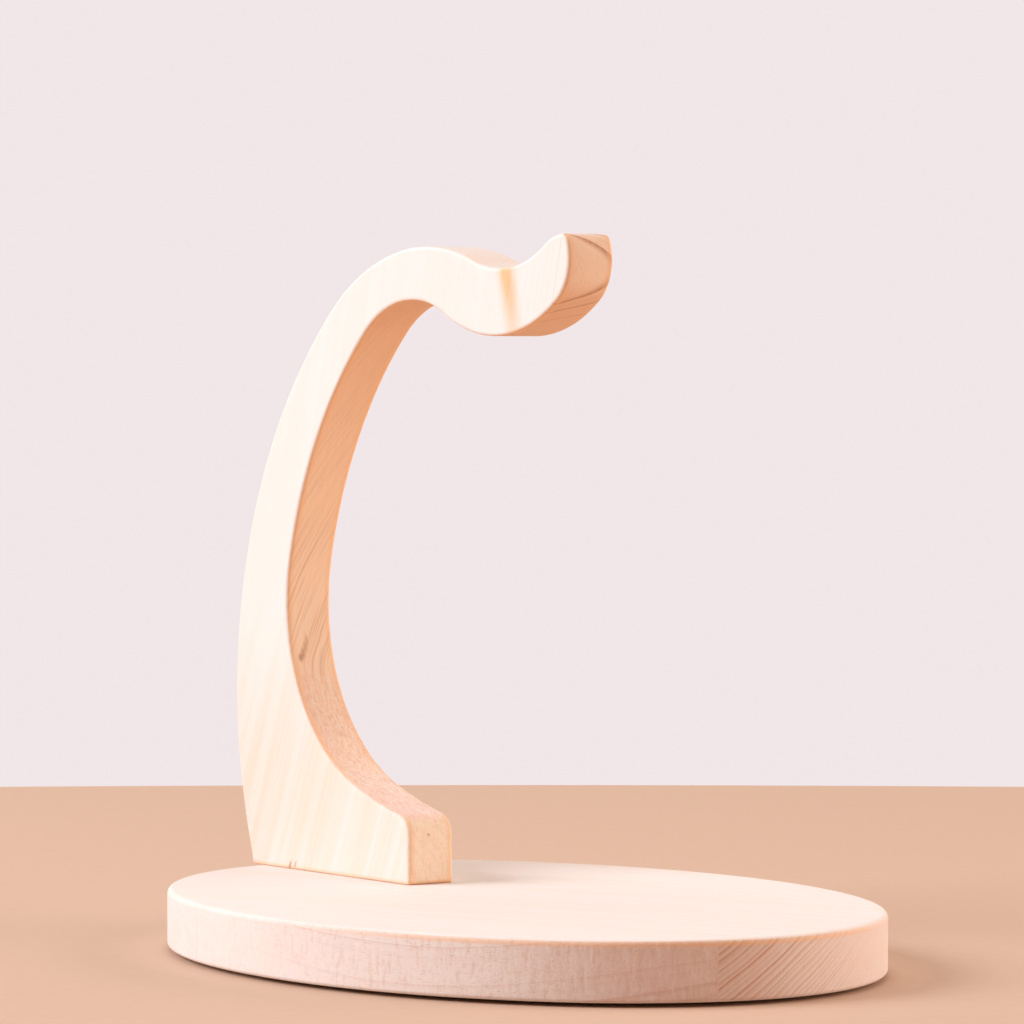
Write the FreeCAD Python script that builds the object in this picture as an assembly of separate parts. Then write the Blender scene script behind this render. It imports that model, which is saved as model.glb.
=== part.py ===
import FreeCAD, Part
import math
import os

# A tabletop stand that shows one pair of glasses: an oval wooden base, one curved wooden
# arm whose dip carries the bridge of the glasses, two wood screws that hold the arm from
# below, and four felt pads under the base.
#
# Frame: +Z is up, +X is the way the hook points, along the oval's long axis, and +Y is to
# the left of it. The stand is symmetric about the XZ plane. The origin is on the surface
# that the stand rests on, under the middle of its overall length.
#
# Lengths are in millimetres and angles in degrees.

# Base
BASE_LENGTH = 125.0
BASE_WIDTH = 90.0
BASE_THICKNESS = 8.5
BASE_EASING = 0.8

# Arm: its outline is a chain of arcs, each tangent to the one before it. An arc is its
# radius and the angle it turns through, positive to the left of the direction of travel.
ARM_THICKNESS = 8.0
ARM_EASING = 0.6
HEEL_OVERHANG = 2.1
HEEL_ROUNDING = 0.6
HEEL_HEADING = 110.0
BACK_ARC = (77.0, -68.5)
CROWN_ARC = (37.0, -62.0)
SADDLE_ARC = (18.75, 55.0)
TIP_SHOULDER_ARC = (8.0, -30.0)
TIP_CORNER_ARC = (1.5, -73.0)
TIP_NOSE_ARC = (7.25, -76.0)
TIP_BELLY_ARC = (26.0, -64.0)
NECK_ARC = (18.0, 70.5)
INNER_UPPER_ARC = (67.0, 34.5)
INNER_LOWER_ARC = (28.5, 82.0)
TOE_SLOPE_ARC = (76.0, 9.5)
TOE_ROUNDING = 3.2
TOE_HEADING = -90.0

# Countersunk wood screw, 3 x 16
SCREW_LENGTH = 16.0
SCREW_HEAD_DIAMETER = 6.0
SCREW_MAJOR_DIAMETER = 3.0
SCREW_CORE_DIAMETER = 2.1
SCREW_PITCH = 1.35
SCREW_POINT_LENGTH = 2.8
SCREW_PLAIN_LENGTH = 3.4
RECESS_SPAN = 3.2
RECESS_SLOT = 0.75
RECESS_DEPTH = 1.1
RECESS_TAPER = 0.35
FRONT_SCREW_FROM_HEEL = 31.0
REAR_SCREW_FROM_HEEL = 11.0
HEAD_SINK = 0.2
SHANK_CLEARANCE = 0.2
THREAD_CLEARANCE = 0.02

# Felt pads
PAD_DIAMETER = 10.0
PAD_THICKNESS = 0.6
PAD_SPACING_X = 76.0
PAD_SPACING_Y = 44.0

# Heights and places that follow from those
BASE_BOTTOM = PAD_THICKNESS
BASE_TOP = BASE_BOTTOM + BASE_THICKNESS
SCREW_BOTTOM = BASE_BOTTOM + HEAD_SINK


class Outline:
    """A plane outline in XZ, drawn by moving along straight runs and tangent arcs."""

    def __init__(self, x, z, heading):
        self.x = x
        self.z = z
        self.heading = heading
        self.edges = []

    def point(self):
        return FreeCAD.Vector(self.x, 0, self.z)

    def line_down_to(self, z):
        """Go straight down to a height."""
        start = self.point()
        self.z = z
        self.edges.append(Part.LineSegment(start, self.point()).toShape())

    def arc(self, radius, turn):
        """Turn to the left, or to the right when the turn is negative."""
        start = self.point()
        side = math.copysign(1.0, turn)
        first = math.radians(self.heading)
        centre_x = self.x - side * radius * math.sin(first)
        centre_z = self.z + side * radius * math.cos(first)

        def on_arc(part_of_turn):
            angle = first + math.radians(turn) * part_of_turn
            x = centre_x + side * radius * math.sin(angle)
            z = centre_z - side * radius * math.cos(angle)
            return FreeCAD.Vector(x, 0, z)

        end = on_arc(1.0)
        self.edges.append(Part.Arc(start, on_arc(0.5), end).toShape())
        self.x = end.x
        self.z = end.z
        self.heading += turn

    def closed_face(self):
        """Join the end to the start and return the face inside."""
        first_point = self.edges[0].Vertexes[0].Point
        self.edges.append(Part.LineSegment(self.point(), first_point).toShape())
        return Part.Face(Part.Wire(self.edges))


def arm_outline(heel_x):
    """The arm's side view, from the heel up its back, over the tip and down to the toe."""
    outline = Outline(heel_x + HEEL_ROUNDING, BASE_TOP, 180.0)
    outline.arc(HEEL_ROUNDING, HEEL_HEADING - 180.0)
    arcs = (BACK_ARC, CROWN_ARC, SADDLE_ARC, TIP_SHOULDER_ARC, TIP_CORNER_ARC, TIP_NOSE_ARC,
            TIP_BELLY_ARC, NECK_ARC, INNER_UPPER_ARC, INNER_LOWER_ARC, TOE_SLOPE_ARC)
    for radius, turn in arcs:
        outline.arc(radius, turn)
    outline.arc(TOE_ROUNDING, TOE_HEADING - outline.heading)
    outline.line_down_to(BASE_TOP)
    return outline.closed_face()


def base_centre_x():
    """Where the oval's middle is when the stand's overall length is centred on X = 0."""
    heading = math.radians(HEEL_HEADING)
    back_start = HEEL_ROUNDING * (1 - math.sin(heading))
    back_bulge = BACK_ARC[0] * (1 - math.sin(heading))
    return (HEEL_OVERHANG - back_start + back_bulge) / 2


BASE_CENTRE_X = base_centre_x()
HEEL_X = BASE_CENTRE_X - BASE_LENGTH / 2 - HEEL_OVERHANG
FRONT_SCREW_X = HEEL_X + FRONT_SCREW_FROM_HEEL
REAR_SCREW_X = HEEL_X + REAR_SCREW_FROM_HEEL


def edges_at(solid, axis, places):
    """The edges that lie wholly in one of the planes at these places along an axis."""
    found = []
    for edge in solid.Edges:
        low = getattr(edge.BoundBox, axis + "Min")
        high = getattr(edge.BoundBox, axis + "Max")
        if any(abs(low - place) < 1e-4 and abs(high - place) < 1e-4 for place in places):
            found.append(edge)
    return found


def screw_hole(x):
    """Clearance hole and countersink through the base, open at both faces."""
    shank_radius = SCREW_MAJOR_DIAMETER / 2 + SHANK_CLEARANCE
    mouth_radius = SCREW_HEAD_DIAMETER / 2 + HEAD_SINK
    cone_height = mouth_radius - shank_radius
    below = FreeCAD.Vector(x, 0, BASE_BOTTOM)
    hole = Part.makeCylinder(shank_radius, BASE_THICKNESS, below)
    countersink = Part.makeCone(mouth_radius, shank_radius, cone_height, below)
    return hole.fuse(countersink)


def base_plate():
    """Oval board with eased edges and two countersunk holes."""
    centre = FreeCAD.Vector(BASE_CENTRE_X, 0, BASE_BOTTOM)
    oval = Part.Ellipse(centre, BASE_LENGTH / 2, BASE_WIDTH / 2)
    board = Part.Face(Part.Wire([oval.toShape()])).extrude(FreeCAD.Vector(0, 0, BASE_THICKNESS))
    rims = edges_at(board, "Z", (BASE_BOTTOM, BASE_TOP))
    board = board.makeFillet(BASE_EASING, rims)
    return board.cut([screw_hole(FRONT_SCREW_X), screw_hole(REAR_SCREW_X)])


def pilot_hole(x):
    """The hole that a screw's thread has cut in the arm, with a pointed end."""
    radius = SCREW_MAJOR_DIAMETER / 2 + THREAD_CLEARANCE
    tip_z = SCREW_BOTTOM + SCREW_LENGTH
    straight_end = tip_z - SCREW_POINT_LENGTH
    straight = Part.makeCylinder(radius, straight_end - BASE_TOP, FreeCAD.Vector(x, 0, BASE_TOP))
    reach = SCREW_POINT_LENGTH + 2 * THREAD_CLEARANCE
    point = Part.makeCone(radius, 0, reach, FreeCAD.Vector(x, 0, straight_end))
    return straight.fuse(point)


def support_arm():
    """Curved arm sawn from one board, its long edges eased."""
    half = ARM_THICKNESS / 2
    face = arm_outline(HEEL_X)
    face.translate(FreeCAD.Vector(0, -half, 0))
    arm = face.extrude(FreeCAD.Vector(0, ARM_THICKNESS, 0))
    arm = arm.makeFillet(ARM_EASING, edges_at(arm, "Y", (-half, half)))
    return arm.cut([pilot_hole(FRONT_SCREW_X), pilot_hole(REAR_SCREW_X)])


def cross_recess():
    """Tapered cross cut into the screw's head, its mouth at Z = 0."""
    bars = []
    for length, width in ((RECESS_SPAN, RECESS_SLOT), (RECESS_SLOT, RECESS_SPAN)):
        sections = []
        for z, shrink in ((0.0, 0.0), (RECESS_DEPTH, RECESS_TAPER)):
            half_x = length / 2 * (1 - shrink)
            half_y = width / 2 * (1 - shrink)
            corners = [FreeCAD.Vector(sx * half_x, sy * half_y, z)
                       for sx, sy in ((-1, -1), (1, -1), (1, 1), (-1, 1), (-1, -1))]
            sections.append(Part.makePolygon(corners))
        bars.append(Part.makeLoft(sections, True))
    return bars[0].fuse(bars[1])


def screw(x):
    """Wood screw standing point up: head, plain neck, ridged thread and point."""
    head_radius = SCREW_HEAD_DIAMETER / 2
    core_radius = SCREW_CORE_DIAMETER / 2
    major_radius = SCREW_MAJOR_DIAMETER / 2
    head_height = head_radius - major_radius
    thread_start = head_height + SCREW_PLAIN_LENGTH
    thread_end = SCREW_LENGTH - SCREW_POINT_LENGTH
    profile = [(0.0, 0.0), (head_radius, 0.0), (major_radius, head_height),
               (major_radius, thread_start)]
    turns = int((thread_end - thread_start) / SCREW_PITCH)
    for turn in range(turns):
        root_z = thread_start + (turn + 0.5) * SCREW_PITCH
        crest_z = thread_start + (turn + 1.0) * SCREW_PITCH
        profile.append((core_radius, root_z))
        profile.append((major_radius, crest_z))
    profile.append((core_radius, thread_end))
    profile.append((0.0, SCREW_LENGTH))
    points = [FreeCAD.Vector(radius, 0, z) for radius, z in profile]
    section = Part.Face(Part.makePolygon(points + [points[0]]))
    body = section.revolve(FreeCAD.Vector(0, 0, 0), FreeCAD.Vector(0, 0, 1), 360)
    body = body.cut(cross_recess())
    body.translate(FreeCAD.Vector(x, 0, SCREW_BOTTOM))
    return body


def foot_pad(side_x, side_y):
    """Felt dot under the base."""
    x = BASE_CENTRE_X + side_x * PAD_SPACING_X / 2
    y = side_y * PAD_SPACING_Y / 2
    return Part.makeCylinder(PAD_DIAMETER / 2, PAD_THICKNESS, FreeCAD.Vector(x, y, 0))


def make_parts():
    """Every sub-part by the name of its node."""
    parts = {
        "base_plate": base_plate(),
        "support_arm": support_arm(),
        "front_screw": screw(FRONT_SCREW_X),
        "rear_screw": screw(REAR_SCREW_X),
    }
    for end, side_x in (("front", 1), ("rear", -1)):
        for side, side_y in (("left", 1), ("right", -1)):
            parts[f"foot_pad_{end}_{side}"] = foot_pad(side_x, side_y)
    return parts


def write_parts(parts):
    """Write one STEP file per sub-part and print its box and volume."""
    os.makedirs("parts", exist_ok=True)
    for name, shape in parts.items():
        solid = shape.Solids[0]
        box = solid.BoundBox
        print(f"{name}: valid {solid.isValid()}, solids {len(shape.Solids)}, "
              f"X {box.XMin:.2f} {box.XMax:.2f}, Y {box.YMin:.2f} {box.YMax:.2f}, "
              f"Z {box.ZMin:.2f} {box.ZMax:.2f}, volume {solid.Volume:.0f}")
        solid.exportStep(os.path.join("parts", name + ".step"))


write_parts(make_parts())
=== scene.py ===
"""Looks of a tabletop glasses stand: an oval wooden base and a curved wooden arm.

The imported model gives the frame, in metres: +Z is up, +X is the way the hook points along
the oval's long axis, and the stand is symmetric about the XZ plane.
"""

import logging
import math
from dataclasses import dataclass, field
from enum import Enum
from typing import Any, Iterable, Sequence

import bmesh
import bpy
from mathutils import Matrix, Vector, noise
from mathutils.geometry import delaunay_2d_cdt


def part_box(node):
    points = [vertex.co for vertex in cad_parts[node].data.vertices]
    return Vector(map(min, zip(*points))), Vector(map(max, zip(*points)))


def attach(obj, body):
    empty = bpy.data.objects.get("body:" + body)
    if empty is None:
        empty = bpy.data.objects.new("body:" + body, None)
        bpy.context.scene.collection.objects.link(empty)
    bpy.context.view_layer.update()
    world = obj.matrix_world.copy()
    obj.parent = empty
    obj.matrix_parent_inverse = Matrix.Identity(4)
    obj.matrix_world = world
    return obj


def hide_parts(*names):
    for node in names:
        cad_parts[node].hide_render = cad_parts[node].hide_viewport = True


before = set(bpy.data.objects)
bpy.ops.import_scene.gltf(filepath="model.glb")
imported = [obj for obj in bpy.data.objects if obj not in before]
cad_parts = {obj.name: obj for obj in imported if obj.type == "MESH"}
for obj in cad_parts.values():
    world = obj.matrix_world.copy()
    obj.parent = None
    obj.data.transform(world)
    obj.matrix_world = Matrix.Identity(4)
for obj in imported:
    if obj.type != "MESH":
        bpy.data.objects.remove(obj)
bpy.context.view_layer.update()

MM = 0.001
BODY = "root"
TAU = 2 * math.pi
BOARD_SHAPE = 90.0 / 125.0  # width over length

log = logging.getLogger("glasses_stand")

Colour = tuple[float, float, float]


# --------------------------------------------------------------------------------------
# Shader graphs
# --------------------------------------------------------------------------------------


class Value:
    """A number socket that takes part in Python expressions.

    Args:
        graph: The graph that the socket belongs to.
        socket: The output socket that holds the number.
    """

    def __init__(self, graph: "Graph", socket: bpy.types.NodeSocket) -> None:
        """Keep the graph and the socket."""
        self.graph = graph
        self.socket = socket

    def __add__(self, other: "Number") -> "Value":
        """The sum."""
        return self.graph.math("ADD", self, other)

    __radd__ = __add__

    def __sub__(self, other: "Number") -> "Value":
        """The difference."""
        return self.graph.math("SUBTRACT", self, other)

    def __rsub__(self, other: "Number") -> "Value":
        """The difference, the other way round."""
        return self.graph.math("SUBTRACT", other, self)

    def __mul__(self, other: "Number") -> "Value":
        """The product."""
        return self.graph.math("MULTIPLY", self, other)

    __rmul__ = __mul__

    def __truediv__(self, other: "Number") -> "Value":
        """The quotient."""
        return self.graph.math("DIVIDE", self, other)

    def __rtruediv__(self, other: "Number") -> "Value":
        """The quotient, the other way round."""
        return self.graph.math("DIVIDE", other, self)

    def __pow__(self, other: "Number") -> "Value":
        """The value to a power."""
        return self.graph.math("POWER", self, other)

    def __neg__(self) -> "Value":
        """The value with its sign changed."""
        return self * -1.0

    def __abs__(self) -> "Value":
        """The value without its sign."""
        return self.graph.math("ABSOLUTE", self)

    def fraction(self) -> "Value":
        """The part after the decimal point."""
        return self.graph.math("FRACT", self)

    def root(self) -> "Value":
        """The square root."""
        return self.graph.math("SQRT", self)

    def at_least(self, limit: "Number") -> "Value":
        """The value, or the limit where the value is lower."""
        return self.graph.math("MAXIMUM", self, limit)

    def at_most(self, limit: "Number") -> "Value":
        """The value, or the limit where the value is higher."""
        return self.graph.math("MINIMUM", self, limit)

    def share(self, low: "Number", high: "Number") -> "Value":
        """How far the value has come from low to high, kept from 0 to 1."""
        return ((self - low) / (high - low)).at_least(0.0).at_most(1.0)

    def ramp(self, low: float, high: float) -> "Value":
        """Smooth step from 0 at low to 1 at high, or the other way when low is larger.

        Args:
            low: Where the step starts.
            high: Where the step ends.

        Returns:
            A value from 0 to 1.
        """
        rising = high > low
        first, last = (low, high) if rising else (high, low)
        ends = (0.0, 1.0) if rising else (1.0, 0.0)
        node = self.graph.node(
            "ShaderNodeMapRange",
            {"interpolation_type": "SMOOTHSTEP"},
            {0: self, 1: first, 2: last, 3: ends[0], 4: ends[1]},
        )
        return Value(self.graph, node.outputs[0])

    def line(self, centre: float, half_width: float) -> "Value":
        """A soft line: 1 where the value is at centre, 0 beyond half_width from it."""
        return abs(self - centre).ramp(half_width, 0.0)


Number = Value | float
Coat = tuple[Value, Colour]


class Graph:
    """Builds one node tree, of a material or of a world.

    Args:
        tree: The tree to fill. Its default nodes are removed.
    """

    def __init__(self, tree: bpy.types.NodeTree) -> None:
        """Empty the tree and keep it."""
        self.tree = tree
        tree.nodes.clear()

    def node(
        self,
        kind: str,
        settings: dict[str, Any] | None = None,
        inputs: dict[str | int, Any] | None = None,
    ) -> bpy.types.Node:
        """Add one node.

        Args:
            kind: The node's Blender type.
            settings: Properties of the node, set before its sockets.
            inputs: Socket name or number to a number, a colour, a Value or a socket.

        Returns:
            The new node.
        """
        made = self.tree.nodes.new(kind)
        for name, setting in (settings or {}).items():
            setattr(made, name, setting)
        for name, value in (inputs or {}).items():
            self.feed(made.inputs[name], value)
        return made

    def feed(self, target: bpy.types.NodeSocket, value: Any) -> None:
        """Link a socket or a Value to an input, or set the input to a plain value.

        Args:
            target: The input.
            value: A number, a colour, a vector, a Value or a socket.
        """
        if isinstance(value, Value):
            value = value.socket
        if isinstance(value, bpy.types.NodeSocket):
            self.tree.links.new(value, target)
        elif target.type == "RGBA":
            target.default_value = (*value, 1.0)
        else:
            target.default_value = value

    def math(self, operation: str, *values: Number) -> Value:
        """One Math node on these values."""
        node = self.node("ShaderNodeMath", {"operation": operation}, dict(enumerate(values)))
        return Value(self, node.outputs[0])

    def vector(self, operation: str, *values: Any) -> bpy.types.Node:
        """One Vector Math node on these values."""
        return self.node("ShaderNodeVectorMath", {"operation": operation}, dict(enumerate(values)))

    def along(self, point: bpy.types.NodeSocket, direction: Sequence[float]) -> Value:
        """How far a point lies along a direction."""
        return Value(self, self.vector("DOT_PRODUCT", point, tuple(direction)).outputs["Value"])

    def join(self, x: Number, y: Number, z: Number) -> bpy.types.NodeSocket:
        """A vector of three numbers."""
        return self.node("ShaderNodeCombineXYZ", None, {0: x, 1: y, 2: z}).outputs[0]

    def split(self, point: bpy.types.NodeSocket) -> tuple[Value, Value, Value]:
        """A vector's three numbers."""
        parts = self.node("ShaderNodeSeparateXYZ", None, {0: point}).outputs
        return Value(self, parts[0]), Value(self, parts[1]), Value(self, parts[2])

    def scaled(self, point: bpy.types.NodeSocket, size: float) -> bpy.types.NodeSocket:
        """A vector times one number."""
        made = self.node("ShaderNodeVectorMath", {"operation": "SCALE"},
                         {"Vector": point, "Scale": size})
        return made.outputs[0]

    def noise(
        self,
        point: bpy.types.NodeSocket,
        detail: float = 2.0,
        rough: float = 0.5,
        distortion: float = 0.0,
    ) -> Value:
        """Noise about 1 unit across, from 0 to 1.

        Args:
            point: Where it is read.
            detail: How many finer layers it has.
            rough: How strong the finer layers are.
            distortion: How much it is swirled.

        Returns:
            The noise.
        """
        made = self.node(
            "ShaderNodeTexNoise",
            {"noise_dimensions": "3D", "normalize": True},
            {"Vector": point, "Scale": 1.0, "Detail": detail, "Roughness": rough,
             "Distortion": distortion},
        )
        return Value(self, made.outputs["Fac"])

    def noise_1d(self, value: Value, detail: float = 1.0) -> Value:
        """Noise about 1 unit across along one number, from 0 to 1."""
        made = self.node(
            "ShaderNodeTexNoise",
            {"noise_dimensions": "1D", "normalize": True},
            {"W": value, "Scale": 1.0, "Detail": detail, "Roughness": 0.5},
        )
        return Value(self, made.outputs["Fac"])

    def cells(self, point: bpy.types.NodeSocket) -> Value:
        """Distance to the nearest of scattered points about 1 unit apart."""
        made = self.node(
            "ShaderNodeTexVoronoi",
            {"voronoi_dimensions": "3D", "feature": "F1"},
            {"Vector": point, "Scale": 1.0, "Randomness": 1.0},
        )
        return Value(self, made.outputs["Distance"])

    def mix(
        self,
        amount: Number,
        first: Colour | bpy.types.NodeSocket,
        second: Colour | bpy.types.NodeSocket,
    ) -> bpy.types.NodeSocket:
        """Blend two colours.

        Args:
            amount: How much of the second there is.
            first: The colour at amount 0.
            second: The colour at amount 1.

        Returns:
            The blended colour.
        """
        made = self.node(
            "ShaderNodeMix",
            {"data_type": "RGBA", "blend_type": "MIX", "clamp_factor": True},
            {0: amount, 6: first, 7: second},
        )
        return made.outputs[2]

    def layers(
        self, ground: Colour | bpy.types.NodeSocket, *coats: "Coat"
    ) -> bpy.types.NodeSocket:
        """Lay coats of colour over a ground, one after another.

        Args:
            ground: The colour underneath.
            coats: Pairs of how much a coat covers and its colour.

        Returns:
            The colour on top.
        """
        for amount, coat in coats:
            ground = self.mix(amount, ground, coat)
        return ground

    def position_mm(self) -> bpy.types.NodeSocket:
        """The point on the surface, in millimetres."""
        return self.scaled(self.node("ShaderNodeTexCoord").outputs["Object"], 1 / MM)

    def normal(self) -> bpy.types.NodeSocket:
        """The surface's own normal."""
        return self.node("ShaderNodeNewGeometry").outputs["Normal"]

    def bump(self, height_mm: Value, strength: float) -> bpy.types.NodeSocket:
        """A normal from a height in millimetres."""
        made = self.node("ShaderNodeBump", None,
                         {"Height": height_mm * MM, "Distance": 1.0, "Strength": strength})
        return made.outputs["Normal"]

    def upright(self) -> Value:
        """How far the surface faces up: 1 level, 0 on a wall, -1 from below."""
        return self.along(self.normal(), (0, 0, 1))

    def surface(self, **sockets: Any) -> None:
        """End the material in a Principled shader with these sockets, _ read as a space.

        Args:
            sockets: The sockets' values or links.
        """
        inputs = {name.replace("_", " "): value for name, value in sockets.items()}
        shader = self.node("ShaderNodeBsdfPrincipled", None, inputs)
        self.node("ShaderNodeOutputMaterial", None, {"Surface": shader.outputs[0]})


def new_material(name: str) -> tuple[bpy.types.Material, Graph]:
    """An empty node material and its graph.

    Args:
        name: The material's name.

    Returns:
        The material and the graph that fills it.
    """
    material = bpy.data.materials.new(name)
    material.use_nodes = True
    return material, Graph(material.node_tree)


# --------------------------------------------------------------------------------------
# Finishes
# --------------------------------------------------------------------------------------


WOOD_SURFACE: dict[str, Any] = {
    "IOR": 1.5,
    "Specular_IOR_Level": 0.35,
    "Subsurface_Weight": 0.10,
    "Subsurface_Radius": (0.0010, 0.0005, 0.0003),
    "Subsurface_Scale": 1.0,
}


@dataclass(frozen=True)
class Trunk:
    """How a board lay in the tree. Lengths are in millimetres, in the stand's frame.

    Attributes:
        grain: Unit vector along the fibres.
        across: Unit vector from the heart towards the bark, square to the fibres.
        heart: A point on the line that the rings go round.
        lean: How far the rings shift along across for each millimetre along the grain.
        bow: How much the lean falls for each millimetre along the grain, halved.
    """

    grain: Vector
    across: Vector
    heart: Vector
    lean: float = 0.0
    bow: float = 0.0

    @property
    def aside(self) -> Vector:
        """Unit vector square to the grain and to across."""
        return self.grain.cross(self.across)

    def shift(self, along: Any) -> Any:
        """How far the rings have moved along across, at a place along the grain."""
        return along * self.lean - along * along * self.bow

    def ring(self, point: Vector) -> float:
        """The radius, in the tree, of the ring through a point.

        Args:
            point: A point, in millimetres.

        Returns:
            The radius, in millimetres.
        """
        offset = point - self.heart
        along = offset.dot(self.grain)
        across = offset.dot(self.across) - self.shift(along)
        return math.hypot(across, offset.dot(self.aside))


@dataclass(frozen=True)
class Streak:
    """One dark ring: its radius in the tree, its half width and its strength."""

    radius: float
    half_width: float
    strength: float


@dataclass(frozen=True)
class Mark:
    """A small brown fleck, in millimetres; its half sizes are across, aside and along."""

    place: Vector
    half_sizes: Vector
    strength: float


@dataclass(frozen=True)
class Tones:
    """The colours of one kind of pale wood.

    Attributes:
        pale: Early wood.
        warm: Warmer patches and broad streaks.
        late: The dense outer line of each ring.
        pore: Inside pores, flecks and small marks.
        amber: Sawn edges, where the fibres are cut across; laid thicker on the shaded inner edge,
            partly as painted warm bounce light.
        deep_orange: A deep orange: painted warm glow at the corners of the sawn edges and under
            the base's upper edge, painted shade at the foot's seam, and the core of the amber
            band.
        end: The base's rim.
        line: The darkest growth lines.
        blush: Sawn edges low on the arm, which are pinker.
        toe: The foot's front face, lighter: painted light bounced up from the base.
        under: Painted shade on sawn edges that face down, in a deep orange.
        brown: A pinkish brown, for torn fibres and the near half of the hook's inner edge, and for
            painted shade low on the stem's inner edge and on the base's rim towards its front end.
        knot: Small knots and bark flecks.
        dull: Sawn edges that face up, which gather dust.
    """

    pale: Colour = (0.83, 0.745, 0.70)
    warm: Colour = (0.82, 0.675, 0.56)
    late: Colour = (0.60, 0.375, 0.245)
    pore: Colour = (0.40, 0.23, 0.14)
    amber: Colour = (0.95, 0.64, 0.40)
    deep_orange: Colour = (0.88, 0.50, 0.25)
    end: Colour = (0.68, 0.50, 0.40)
    line: Colour = (0.54, 0.25, 0.14)
    blush: Colour = (0.84, 0.54, 0.45)
    toe: Colour = (0.96, 0.76, 0.56)
    under: Colour = (0.74, 0.37, 0.18)
    brown: Colour = (0.62, 0.33, 0.26)
    knot: Colour = (0.44, 0.20, 0.10)
    dull: Colour = (0.50, 0.45, 0.46)


class Figure:
    """The solid pattern of one board: rings, fibres and pores.

    Args:
        graph: The material's graph.
        trunk: How the board lay in the tree.
        ring_width: Mean distance from ring to ring, in millimetres.
    """

    WANDER = 2.2  # how far a ring strays from its circle, in millimetres
    UNEVEN = 2.2  # how much the rings' widths vary, in rings
    LATE_WOOD = 2.4  # how late in the year's growth a ring darkens

    def __init__(self, graph: Graph, trunk: Trunk, ring_width: float) -> None:
        """Find the places, rings and end faces of the board."""
        self.graph = graph
        self.trunk = trunk
        self.point = graph.position_mm()
        offset = graph.vector("SUBTRACT", self.point, tuple(trunk.heart)).outputs[0]
        self.along = graph.along(offset, trunk.grain)
        self.across = graph.along(offset, trunk.across) - trunk.shift(self.along)
        self.aside = graph.along(offset, trunk.aside)
        self.slow = graph.join(self.across * 0.05, self.aside * 0.05, self.along * 0.012)
        wander = (graph.noise(self.slow, 2.0) - 0.5) * self.WANDER
        self.radius = (self.across * self.across + self.aside * self.aside).root() + wander
        age = self.radius / ring_width + graph.noise_1d(self.radius * 0.35, 2.0) * self.UNEVEN
        part = age.fraction()
        vigour = graph.noise_1d(self.radius * 0.9 + 40.0, 1.0).ramp(0.35, 0.75)
        self.rings = part ** self.LATE_WOOD * part.ramp(1.0, 0.90) * (0.35 + 0.65 * vigour)
        self.end_face = abs(graph.along(graph.normal(), trunk.grain)).ramp(0.45, 0.75)

    def spot(self, width: float, length: float) -> bpy.types.NodeSocket:
        """The place in the board, counted in this width and this length along the grain."""
        return self.graph.join(self.across / width, self.aside / width, self.along / length)

    def fibres(self, width: float, length: float, detail: float = 2.0) -> Value:
        """Streaks along the grain, from 0 to 1, of this width and length in millimetres."""
        return self.graph.noise(self.spot(width, length), detail, 0.6)

    def pores(self, width: float, length: float) -> Value:
        """Short dashes along the grain, which are dots on an end face.

        Args:
            width: Distance between neighbours across the grain, in millimetres.
            length: Distance between neighbours along the grain, in millimetres.

        Returns:
            1 in a dash and 0 between them, in patches over the board.
        """
        dash = self.graph.cells(self.spot(width, length)).ramp(0.30, 0.12)
        return dash * self.graph.noise(self.slow, 3.0).ramp(0.35, 0.65)

    def streak(self, streak: Streak, texture: Value) -> Value:
        """How strongly a dark ring shows: sharp on its inner side, fading on its outer.

        Args:
            streak: The ring.
            texture: Breaks it up.

        Returns:
            A value from 0 up.
        """
        body = self.radius - streak.radius
        inner = body.ramp(-0.25 * streak.half_width, 0.1 * streak.half_width)
        outer = body.ramp(2.0 * streak.half_width, 0.0)
        return inner * outer * (0.45 + texture * 0.9) * streak.strength

    def mark(self, mark: Mark, texture: Value) -> Value:
        """How strongly a small fleck shows.

        Args:
            mark: The fleck.
            texture: Breaks it up.

        Returns:
            A value from 0 up.
        """
        place = mark.place - self.trunk.heart
        along = place.dot(self.trunk.grain)
        across = place.dot(self.trunk.across) - self.trunk.shift(along)
        side = (self.across - across) / mark.half_sizes.x
        deep = (self.aside - place.dot(self.trunk.aside)) / mark.half_sizes.y
        length = (self.along - along) / mark.half_sizes.z
        near = (side * side + deep * deep + length * length).root()
        return near.ramp(1.0, 0.2) * (0.4 + texture * 1.2) * mark.strength


@dataclass(frozen=True)
class ArmParts:
    """Masks from 0 to 1 for the parts of the arm's surface, which has a foot and a hook.

    Attributes:
        rim: The sawn edge, once round the board.
        inner: The sawn edge that faces forward and down, inside the hook.
        hook: In front of the bend.
        foot: The lower half of the arm.
        toe: The foot's front face.
        sawn: The inner edge up the stem, where the saw's strokes show.
        low: The inner edge low on the stem, where the fibres end and stand up.
    """

    rim: Value
    inner: Value
    hook: Value
    foot: Value
    toe: Value
    sawn: Value
    low: Value

    @classmethod
    def of(cls, g: Graph, x: Value, z: Value) -> "ArmParts":
        """Find the parts from the surface's place and normal.

        Args:
            g: The material's graph.
            x: Place along the hook, in millimetres.
            z: Height, in millimetres.

        Returns:
            The masks.
        """
        facing = g.normal()
        rim = abs(g.along(facing, (0, 1, 0))).ramp(0.80, 0.50)
        hook = x.ramp(-2.0, 8.0)
        stem = rim * (1.0 - hook)
        toe = x.ramp(-25.0, -21.0) * z.ramp(20.0, 17.5)
        return cls(
            rim=rim,
            inner=rim * g.along(facing, (0.9, 0, -0.45)).ramp(-0.30, 0.30),
            hook=hook,
            foot=z.ramp(52.0, 20.0),
            toe=toe,
            sawn=stem * z.ramp(34.0, 41.0) * (0.35 + z.ramp(72.0, 52.0) * 0.65),
            low=stem * z.ramp(42.0, 34.0) * (1.0 - toe * 0.5),
        )


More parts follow.
